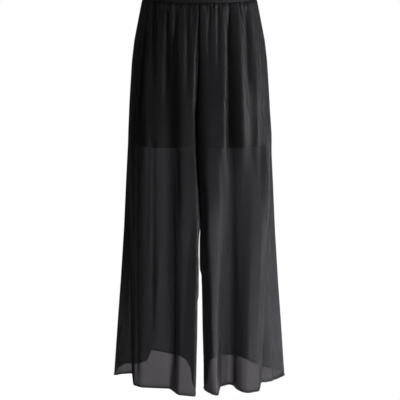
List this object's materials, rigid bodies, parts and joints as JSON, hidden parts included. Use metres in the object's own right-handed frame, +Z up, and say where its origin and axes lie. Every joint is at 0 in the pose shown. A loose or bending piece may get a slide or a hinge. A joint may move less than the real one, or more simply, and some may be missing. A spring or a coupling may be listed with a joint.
{
  "type": "sheer wide-leg culottes",
  "caption": "Ankle-length sheer wide-leg culottes gathered into a plain waistband, with a short opaque lining, filled out as if worn.",
  "frame": {"origin": "middle of the waistband, on the middle plane and half way up the band, where the wearer's waist holds the garment", "axes": "+Z up along the body, -Y towards the front, +X towards the wearer's left"},
  "size_m": [0.4443, 0.3179, 1.0076],
  "materials": {
    "band": "matte black woven band",
    "sheer": "sheer black chiffon with a faint sheen",
    "lining": "opaque black satin lining"
  },
  "bodies": {
    "root": {"waistband": "band", "front_left": "sheer", "front_right": "sheer", "back_left": "sheer", "back_right": "sheer", "lining_front_left": "lining", "lining_front_right": "lining", "lining_back_left": "lining", "lining_back_right": "lining"}
  },
  "joints": []
}
